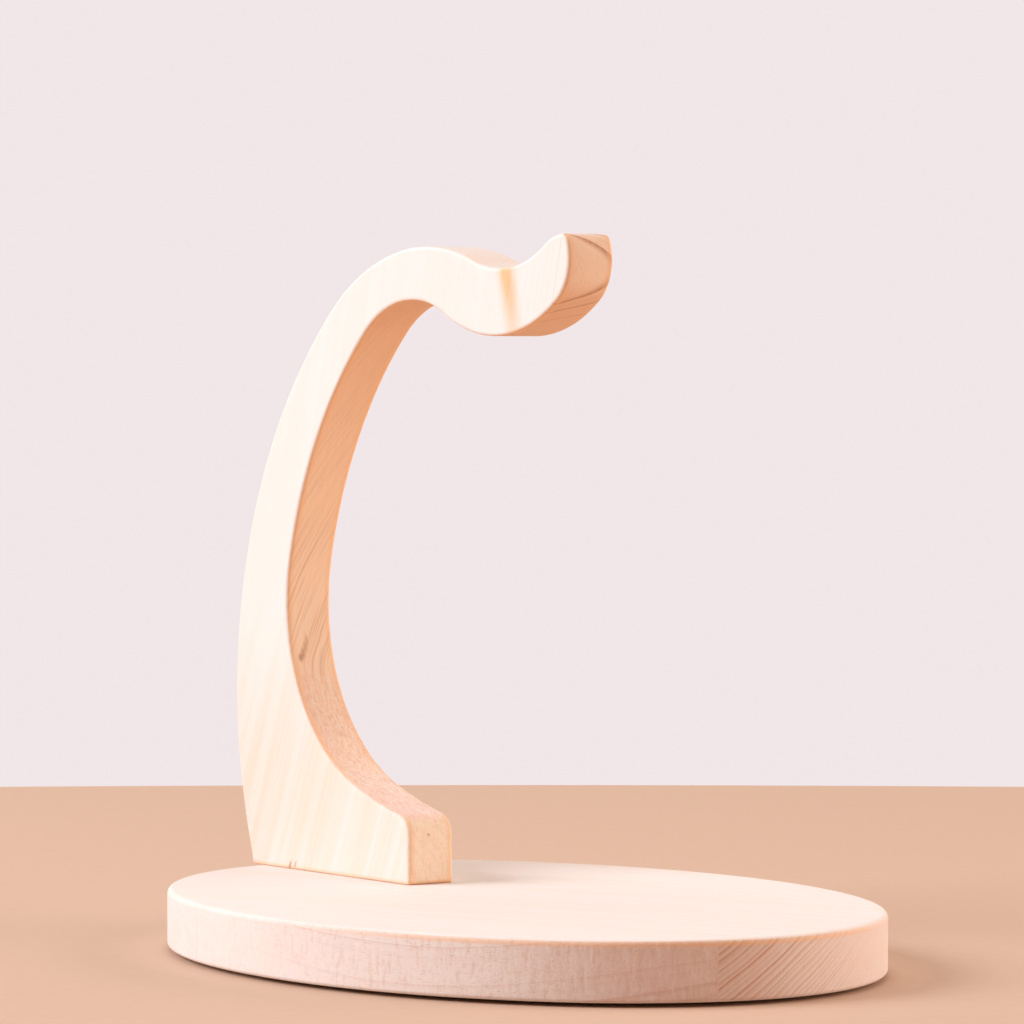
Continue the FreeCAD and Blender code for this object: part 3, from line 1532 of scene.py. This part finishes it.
    def build(self, holes: ScrewHoles, finish: Finish) -> bpy.types.Object:
        """Make the arm with its screw holes and wood.

        Args:
            holes: The screws' holes.
            finish: The wood.

        Returns:
            The finished object.
        """
        points = self.outline()
        moves = self.inward(points)
        radii = {side: self.easings(points, side) for side in (-1, 1)}
        half = (self.high.y - self.low.y) / 2
        work = bmesh.new()
        rows = []
        for side, inset, reach, drop in self.profile():
            row = []
            for point, move, radius in zip(points, moves, radii[side]):
                flat = point + move * (radius * inset)
                row.append(work.verts.new((flat.x, reach * (half - radius * drop), flat.y)))
            rows.append(row)
        grid_faces(work, rows)
        for rim in (rows[0], rows[-1]):
            fill_flat(work, rim)
        piece = add_object("hook_arm", finish_mesh(work, "hook_arm"))
        cut_away(piece, holes.arm_drill(self.low.z))
        shade(piece)
        dress(piece, finish)
        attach(piece, BODY)
        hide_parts("support_arm")
        return piece


class GeometryTree(Graph):
    """Builds one Geometry Nodes tree with named inputs.

    Args:
        name: The tree's name.
    """

    def __init__(self, name: str) -> None:
        """Make an empty tree with a shape in and a shape out."""
        group = bpy.data.node_groups.new(name, "GeometryNodeTree")
        super().__init__(group)
        self.identifiers: dict[str, str] = {}
        group.interface.new_socket("Geometry", in_out="INPUT", socket_type="NodeSocketGeometry")
        group.interface.new_socket("Geometry", in_out="OUTPUT", socket_type="NodeSocketGeometry")
        self.start = group.nodes.new("NodeGroupInput")
        self.end = group.nodes.new("NodeGroupOutput")

    def add_input(self, name: str, kind: str) -> bpy.types.NodeSocket:
        """Add one named input of a kind: Float, Int or Material.

        Args:
            name: The input's name.
            kind: Float, Int or Material.

        Returns:
            The input inside the tree.
        """
        item = self.tree.interface.new_socket(name, in_out="INPUT",
                                              socket_type=f"NodeSocket{kind}")
        self.identifiers[name] = item.identifier
        return self.start.outputs[name]

    def add_numbers(self, kind: str, *names: str) -> list[Value]:
        """Add named inputs that take part in expressions.

        Args:
            kind: Float or Int.
            names: The inputs' names.

        Returns:
            The inputs.
        """
        return [Value(self, self.add_input(name, kind)) for name in names]

    def place(self) -> bpy.types.NodeSocket:
        """Where each vertex is."""
        return self.node("GeometryNodeInputPosition").outputs[0]

    def set_place(
        self, shape: bpy.types.NodeSocket, place: bpy.types.NodeSocket
    ) -> bpy.types.NodeSocket:
        """Move each vertex of a shape to a new place."""
        made = self.node("GeometryNodeSetPosition", None, {"Geometry": shape, "Position": place})
        return made.outputs[0]

    def on_points(self, shape: bpy.types.NodeSocket) -> bpy.types.NodeSocket:
        """A copy of a shape on every input point."""
        made = self.node("GeometryNodeInstanceOnPoints", None,
                         {"Points": self.start.outputs["Geometry"], "Instance": shape})
        return made.outputs[0]

    def joined(self, shapes: Iterable[bpy.types.NodeSocket]) -> bpy.types.NodeSocket:
        """Join shapes into one.

        Args:
            shapes: The shapes.

        Returns:
            All of them as one.
        """
        made = self.node("GeometryNodeJoinGeometry")
        for shape in shapes:
            self.tree.links.new(shape, made.inputs[0])
        return made.outputs[0]

    def close(self, shape: bpy.types.NodeSocket, material: bpy.types.NodeSocket) -> None:
        """End the tree in Realize Instances and Set Material.

        Args:
            shape: What the tree has made.
            material: The material input.
        """
        real = self.node("GeometryNodeRealizeInstances", None, {"Geometry": shape})
        dressed = self.node("GeometryNodeSetMaterial", None,
                            {"Geometry": real.outputs[0], "Material": material})
        self.tree.links.new(dressed.outputs[0], self.end.inputs[0])

    def bake(self, piece: bpy.types.Object, **values: Any) -> None:
        """Run the tree on an object and keep the result as its mesh.

        Args:
            piece: The object, whose mesh is the tree's input.
            values: The inputs' values, _ read as a space.
        """
        modifier = piece.modifiers.new(self.tree.name, "NODES")
        modifier.node_group = self.tree
        for name, value in values.items():
            modifier[self.identifiers[name.replace("_", " ")]] = value
        bake_modifiers(piece)


def points_object(name: str, places: Sequence[Vector]) -> bpy.types.Object:
    """An object whose mesh is only points, for instances to stand on.

    Args:
        name: The object's name.
        places: Where the points are.

    Returns:
        The object.
    """
    mesh = bpy.data.meshes.new(name)
    mesh.from_pydata([tuple(place) for place in places], [], [])
    return add_object(name, mesh)


@dataclass
class WoodScrews:
    """Two countersunk wood screws with a cross recess and a helical thread.

    Attributes:
        holes: The sizes that the screws share with their holes.
        core_radius: Radius under the thread.
        pitch: Height of one turn of the thread.
        plain_length: Length of the plain neck under the head.
        recess_reach: Half the span of the cross.
        recess_width: Half the width of a slot of the cross.
        recess_depth: How deep the cross is.
        recess_taper: How much narrower it is at its bottom, as a share.
        ridge_steepness: How narrow the thread's ridge is: 2 fills the whole pitch.
        neck_taper: Height over which the neck runs out into the thread.
        point_radius: Radius of the very point.
        sides: Faces round a screw.
        rows: Faces along a screw.
        recess_sides: Faces round the cross.
    """

    holes: ScrewHoles
    core_radius: float = 1.05 * MM
    pitch: float = 1.35 * MM
    plain_length: float = 3.4 * MM
    recess_reach: float = 1.6 * MM
    recess_width: float = 0.38 * MM
    recess_depth: float = 1.1 * MM
    recess_taper: float = 0.35
    ridge_steepness: float = 3.2
    neck_taper: float = 0.3 * MM
    point_radius: float = 0.02 * MM
    sides: int = 48
    rows: int = 220
    recess_sides: int = 90

    def tree(self) -> GeometryTree:
        """One screw made point up, and a copy of it on every input point.

        Returns:
            The tree.
        """
        t = GeometryTree("wood_screw")
        length, head, major, core, pitch, plain, tip, reach, width, depth = t.add_numbers(
            "Float", "Length", "Head Radius", "Thread Radius", "Core Radius", "Pitch",
            "Plain Length", "Point Length", "Recess Reach", "Recess Width", "Recess Depth",
        )
        metal = t.add_input("Metal", "Material")

        # a fine round bar, whose radius is then set from its height and its angle
        bar = t.node("GeometryNodeMeshCylinder", {"fill_type": "NGON"},
                     {"Vertices": self.sides, "Side Segments": self.rows, "Radius": MM,
                      "Depth": length})
        x, y, z = t.split(t.place())
        height = z + length * 0.5
        thread_start = head - major + plain
        narrowing = height.share(length - tip, length)
        root = core * (1.0 - narrowing) + narrowing * self.point_radius
        turned = t.math("ARCTAN2", y, x) / TAU
        phase = ((height - thread_start) / pitch - turned).fraction()
        ridge = (1.0 - abs(phase - 0.5) * self.ridge_steepness).at_least(0.0)
        rise = height.share(thread_start, thread_start + pitch * 0.7)
        fall = 1.0 - height.share(length - tip * 1.1, length - tip * 0.2)
        threaded = root + (major - core) * ridge * rise * fall
        neck = (head - height).at_least(major)
        below = 1.0 - height.share(thread_start, thread_start + self.neck_taper)
        radius = (neck * below + threaded * (1.0 - below)) / MM
        body = t.set_place(bar.outputs["Mesh"], t.join(x * radius, y * radius, height))

        # the cross recess: a tapered plug whose outline follows two crossing slots, and
        # which starts a tenth of its depth outside the head
        plug = t.node("GeometryNodeMeshCylinder", {"fill_type": "NGON"},
                      {"Vertices": self.recess_sides, "Side Segments": 1, "Radius": MM,
                       "Depth": depth * 1.1})
        east = (abs(x) / MM).at_least(0.001)
        north = (abs(y) / MM).at_least(0.001)
        level_slot = (reach / east).at_most(width / north)
        upright_slot = (reach / north).at_most(width / east)
        plug_height = z + depth * 0.45
        taper = 1.0 - plug_height.share(depth * -0.1, depth) * self.recess_taper
        span = level_slot.at_least(upright_slot) * taper / MM
        cross = t.set_place(plug.outputs["Mesh"], t.join(x * span, y * span, plug_height))
        cut = t.node("GeometryNodeMeshBoolean", {"operation": "DIFFERENCE"}, {"Mesh 1": body})
        t.tree.links.new(cross, cut.inputs["Mesh 2"])
        t.close(t.on_points(cut.outputs[0]), metal)
        return t

    def build(self, finish: SteelFinish) -> bpy.types.Object:
        """Make both screws.

        Args:
            finish: The metal.

        Returns:
            The finished object.
        """
        piece = points_object("wood_screws", self.holes.axes())
        self.tree().bake(
            piece,
            Length=self.holes.length,
            Head_Radius=self.holes.head_radius,
            Thread_Radius=self.holes.shank_radius,
            Core_Radius=self.core_radius,
            Pitch=self.pitch,
            Plain_Length=self.plain_length,
            Point_Length=self.holes.point_length,
            Recess_Reach=self.recess_reach,
            Recess_Width=self.recess_width,
            Recess_Depth=self.recess_depth,
            Metal=finish.material(),
        )
        shade(piece, 40.0)
        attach(piece, BODY)
        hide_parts("front_screw", "rear_screw")
        return piece


@dataclass
class FeltPads:
    """Four thin felt dots with loose fibres at their rims.

    Attributes:
        rim_inset: How far the felt's body stays inside the pad's full radius.
        fibre_length: Mean length of a loose fibre.
        fibre_radius: Thickness of a fibre, halved.
        fibres: Loose fibres on each pad.
        seed: Seed of the fibres' places.
        nodes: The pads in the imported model.
    """

    rim_inset: float = 0.12 * MM
    fibre_length: float = 0.42 * MM
    fibre_radius: float = 0.018 * MM
    fibres: int = 260
    seed: int = 11
    nodes: tuple[str, ...] = tuple(
        f"foot_pad_{end}_{side}" for end in ("front", "rear") for side in ("left", "right")
    )

    def tree(self) -> GeometryTree:
        """One felt dot with its fibres, and a copy of it on every input point.

        Returns:
            The tree.
        """
        t = GeometryTree("felt_dot")
        radius, thickness, inset, fibre_length, fibre_radius = t.add_numbers(
            "Float", "Radius", "Thickness", "Rim Inset", "Fibre Length", "Fibre Radius")
        count, seed = t.add_numbers("Int", "Fibres", "Seed")
        cloth = t.add_input("Cloth", "Material")

        # the felt's body, its wall pinched at the faces and a little wavy
        disc = t.node("GeometryNodeMeshCylinder", {"fill_type": "TRIANGLE_FAN"},
                      {"Vertices": 96, "Side Segments": 4, "Fill Segments": 6,
                       "Radius": radius - inset, "Depth": thickness})
        place = t.place()
        x, y, z = t.split(place)
        reach = (x * x + y * y).root() / (radius - inset)
        level = abs(z) / (thickness * 0.5)
        waves = Value(t, t.node("ShaderNodeTexNoise", {"noise_dimensions": "3D"},
                                {"Vector": place, "Scale": 1400.0, "Detail": 3.0}).outputs["Fac"])
        wall = reach.ramp(0.9, 1.0)
        pull = level * level * wall * 0.035 + wall * waves * 0.02
        soft = t.vector("MULTIPLY", place, t.join(1.0 - pull, 1.0 - pull, 1.0)).outputs[0]
        felt = t.set_place(disc.outputs["Mesh"], soft)

        # loose fibres on the wall, each a bent thread of three sides
        rim = t.node("GeometryNodeDistributePointsOnFaces", {"distribute_method": "RANDOM"},
                     {"Mesh": felt, "Selection": disc.outputs["Side"],
                      "Density": count / (radius * thickness * TAU), "Seed": seed})
        line = t.node("GeometryNodeCurvePrimitiveBezierSegment", None,
                      {"Resolution": 4, "Start": (0.0, 0.0, 0.0),
                       "Start Handle": t.join(0.0, 0.0, fibre_length * 0.5),
                       "End Handle": t.join(fibre_length * 0.5, 0.0, fibre_length * 0.8),
                       "End": t.join(fibre_length * 0.9, 0.0, fibre_length * 0.7)})
        round_profile = t.node("GeometryNodeCurvePrimitiveCircle", {"mode": "RADIUS"},
                               {"Resolution": 3, "Radius": fibre_radius})
        fibre = t.node("GeometryNodeCurveToMesh", None,
                       {"Curve": line.outputs[0], "Profile Curve": round_profile.outputs[0],
                        "Fill Caps": True})
        spin = t.node("FunctionNodeRandomValue", {"data_type": "FLOAT"},
                      {2: -0.5, 3: 0.5, "Seed": seed})
        twist = t.node("FunctionNodeRotateRotation", {"rotation_space": "LOCAL"},
                       {"Rotation": rim.outputs["Rotation"],
                        "Rotate By": t.join(0.0, 0.0, Value(t, spin.outputs[1]) * 0.6)})
        swing = t.node("FunctionNodeRandomValue", {"data_type": "FLOAT"},
                       {2: 0.25, 3: 0.85, "Seed": seed})
        hairs = t.node("GeometryNodeInstanceOnPoints", None,
                       {"Points": rim.outputs["Points"], "Instance": fibre.outputs[0],
                        "Rotation": twist.outputs[0], "Scale": swing.outputs[1]})
        loose = t.node("GeometryNodeRealizeInstances", None, {"Geometry": hairs.outputs[0]})

        # no fibre goes past the pad's full size
        x, y, z = t.split(t.place())
        limit = thickness * 0.49
        rein = (radius * 0.998 / (x * x + y * y).root()).at_most(1.0)
        level_z = z.at_least(-limit).at_most(limit)
        kept = t.set_place(loose.outputs[0], t.join(x * rein, y * rein, level_z))
        t.close(t.on_points(t.joined((felt, kept))), cloth)
        return t

    def build(self, finish: FeltFinish) -> bpy.types.Object:
        """Make the four pads.

        Args:
            finish: The felt.

        Returns:
            The finished object.
        """
        boxes = [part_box(node) for node in self.nodes]
        low, high = boxes[0]
        piece = points_object("felt_pads", [(box[0] + box[1]) / 2 for box in boxes])
        self.tree().bake(
            piece,
            Radius=(high.x - low.x) / 2,
            Thickness=high.z - low.z,
            Rim_Inset=self.rim_inset,
            Fibre_Length=self.fibre_length,
            Fibre_Radius=self.fibre_radius,
            Fibres=self.fibres,
            Seed=self.seed,
            Cloth=finish.material(),
        )
        shade(piece, 45.0)
        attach(piece, BODY)
        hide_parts(*self.nodes)
        return piece


# --------------------------------------------------------------------------------------
# Studio
# --------------------------------------------------------------------------------------


class Falloff(Enum):
    """How large a light is across, in metres, and so how soft its shadows are."""

    SOFT = 1.0
    BROAD = 1.2


@dataclass
class Lamp:
    """One area light, aimed at the stand; its power is in watts."""

    name: str
    place: Vector
    size: Falloff
    power: float
    colour: Colour

    def build(self, target: Vector) -> None:
        """Add the light, aimed at a point.

        Args:
            target: The point.
        """
        light = bpy.data.lights.new(self.name, "AREA")
        light.shape = "DISK"
        light.size = self.size.value
        light.energy = self.power
        light.color = self.colour
        made = bpy.data.objects.new(self.name, light)
        made.location = self.place
        made.rotation_euler = (target - self.place).to_track_quat("-Z", "Y").to_euler()
        bpy.context.scene.collection.objects.link(made)


@dataclass
class Studio:
    """Floor, background, lights and camera.

    Attributes:
        azimuth: Where the camera stands round the stand, in degrees. 0 looks along +Y.
        elevation: How far the camera looks down, in degrees.
        distance: From the camera to the point it looks at.
        target: The point it looks at.
        lens: Focal length in millimetres, on a 36 mm sensor.
        floor_radius: Radius of the round floor.
        floor_behind: How far the floor reaches behind the stand.
        wall_colour: The surround as the camera sees it.
        room_colour: The surround's light on the stand.
        floor_colours: The floor's colour and its faint patches.
    """

    azimuth: float = 54.355
    elevation: float = 1.487
    distance: float = 0.7355
    target: Vector = field(default_factory=lambda: Vector((1.59, 0.0, 64.34)) * MM)
    lens: float = 179.876953125
    floor_radius: float = 1.2
    floor_behind: float = 0.315
    wall_colour: Colour = (0.885, 0.795, 0.805)
    room_colour: Colour = (1.0, 0.79, 0.65)
    floor_colours: tuple[Colour, Colour] = ((0.62, 0.42, 0.30), (0.58, 0.385, 0.27))

    def build(self) -> None:
        """Add everything around the stand."""
        self.floor()
        self.background()
        for lamp in self.lamps():
            lamp.build(Vector((0.0, 0.0, 0.05)))
        self.camera()
        view = bpy.context.scene.view_settings
        view.view_transform = "Standard"
        view.look = "None"

    def lamps(self) -> list[Lamp]:
        """The lights."""
        return [
            Lamp("key", Vector((-0.54, -1.09, 0.75)), Falloff.SOFT, 22.5, (0.90, 0.915, 1.0)),
            Lamp("top", Vector((-0.3, 0.2, 1.4)), Falloff.BROAD, 7.5, (0.97, 0.98, 1.0)),
            Lamp("bounce", Vector((0.84, 0.84, 0.35)), Falloff.BROAD, 7.8, (0.95, 0.73, 0.61)),
            Lamp("back", Vector((0.45, 1.25, 0.35)), Falloff.BROAD, 9.0, (1.0, 0.90, 0.84)),
        ]

    def floor(self) -> None:
        """A plain pale floor."""
        work = bmesh.new()
        azimuth = math.radians(self.azimuth)
        forward = Vector((math.sin(azimuth), -math.cos(azimuth), 0))
        middle = self.target.xy.to_3d() + forward * (self.floor_radius - self.floor_behind)
        bmesh.ops.create_circle(work, cap_ends=True, segments=256, radius=self.floor_radius,
                                matrix=Matrix.Translation(middle))
        piece = add_object("floor", finish_mesh(work, "floor"))
        material, g = new_material("pale_floor")
        grain = g.noise(g.scaled(g.position_mm(), 0.4), 3.0)
        g.surface(
            Base_Color=g.mix(grain.ramp(0.3, 0.7) * 0.3, *self.floor_colours),
            Roughness=0.75,
        )
        piece.data.materials.append(material)

    def background(self) -> None:
        """An even pale surround."""
        world = bpy.data.worlds.new("studio")
        world.use_nodes = True
        bpy.context.scene.world = world
        g = Graph(world.node_tree)
        seen = Value(g, g.node("ShaderNodeLightPath").outputs["Is Camera Ray"])
        shader = g.node("ShaderNodeBackground", None,
                        {"Color": g.mix(seen, self.room_colour, self.wall_colour),
                         "Strength": 0.35 + seen * 0.65})
        g.node("ShaderNodeOutputWorld", None, {"Surface": shader.outputs[0]})

    def camera(self) -> None:
        """A long lens, level with the hook."""
        azimuth = math.radians(self.azimuth)
        elevation = math.radians(self.elevation)
        back = Vector((math.sin(azimuth) * math.cos(elevation),
                       -math.cos(azimuth) * math.cos(elevation), math.sin(elevation)))
        data = bpy.data.cameras.new("camera")
        data.sensor_width = 36.0
        data.lens = self.lens
        data.clip_start = 0.05
        data.clip_end = 20.0
        made = bpy.data.objects.new("camera", data)
        made.location = self.target + back * self.distance
        made.rotation_euler = (-back).to_track_quat("-Z", "Y").to_euler()
        bpy.context.scene.collection.objects.link(made)
        bpy.context.scene.camera = made


# --------------------------------------------------------------------------------------
# Making it
# --------------------------------------------------------------------------------------


def arm_wood() -> ArmWood:
    """The arm's wood: upright grain that bows, and rings round a heart behind the board.

    Returns:
        The finish.
    """
    low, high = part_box("support_arm")
    tip = Vector((high.x, low.y, high.z)) / MM
    belly = 5.9
    trunk = Trunk(grain=Vector((0, 0, 1)), across=Vector((1, 0, 0)),
                  heart=Vector((-30.0, 15.0, 98.0)), lean=0.25, bow=0.00108)

    def streak(behind_tip: float, half_width: float, strength: float) -> Streak:
        """A dark ring through a point this far behind the tip, in millimetres."""
        place = tip - Vector((behind_tip, 0, belly))
        return Streak(trunk.ring(place), half_width, strength)

    return ArmWood(
        trunk=trunk,
        half_thickness=(high.y - low.y) / 2 / MM,
        foot_z=low.z / MM,
        band=tip - Vector((15.1, 0, belly)),
        streaks=(
            streak(2.9, 0.27, 1.0),
            streak(4.7, 0.22, 0.8),
            streak(7.2, 0.18, 0.55),
            streak(23.0, 0.5, 0.12),
            streak(36.0, 0.6, 0.10),
        ),
        marks=(
            Mark(Vector((-50.7, -4.0, 9.6)), Vector((0.45, 0.9, 1.1)), 0.8),
            Mark(Vector((-49.2, -4.0, 9.9)), Vector((0.40, 0.9, 0.9)), 0.6),
            Mark(Vector((-50.9, -0.8, 43.8)), Vector((1.2, 0.45, 2.0)), 0.40),
            Mark(Vector((-50.7, -1.2, 42.8)), Vector((1.2, 0.50, 1.8)), 0.50),
            Mark(Vector((-50.5, -1.7, 41.9)), Vector((1.2, 0.55, 1.6)), 0.60),
            Mark(Vector((-50.3, -2.2, 41.2)), Vector((1.2, 0.65, 1.2)), 0.70),
            Mark(Vector((-18.9, -0.4, 16.4)), Vector((0.8, 0.3, 0.3)), 0.8),
        ),
    )


def base_wood() -> BoardWood:
    """The base's wood: grain near the long axis, rings that slant across its front end.

    Returns:
        The finish.
    """
    low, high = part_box("base_plate")
    turn = math.radians(22.0)
    grain = Vector((math.cos(turn), math.sin(turn), 0))
    level = Vector((-math.sin(turn), math.cos(turn), 0))
    up = Vector((0, 0, 1))

    def trunk(slant: float, distance: float, seen_at: Vector) -> Trunk:
        """A board whose rings slant by this angle where they pass through a point.

        Args:
            slant: The rings' slant, in degrees.
            distance: How far the heart is from the point.
            seen_at: The point, in millimetres.

        Returns:
            How the board lay.
        """
        angle = math.radians(slant)
        across = (-math.cos(angle) * level + math.sin(angle) * up).normalized()
        return Trunk(grain=grain, across=across, heart=seen_at - across * distance)

    end = Vector((high.x / MM, 0, low.z / MM + 4.0))
    return BoardWood(
        main=trunk(50.0, 90.0, end + Vector((-1.5, -5.0, 0))),
        front=trunk(72.0, 60.0, end + Vector((-8.0, -22.0, 0))),
        joint=end + Vector((-1.95, -11.0, 0)),
        high_z=high.z / MM,
    )


def main() -> None:
    """Build the stand and the studio, in order."""
    logging.basicConfig(level=logging.INFO, format="%(name)s: %(message)s")
    holes = ScrewHoles()
    pieces = [
        BaseBoard().build(holes, base_wood()),
        HookArm().build(holes, arm_wood()),
        WoodScrews(holes).build(SteelFinish()),
        FeltPads().build(FeltFinish()),
    ]
    for piece in pieces:
        log.info("%s: %d faces", piece.name, len(piece.data.polygons))
    Studio().build()
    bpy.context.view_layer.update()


if __name__ == "__main__":
    main()
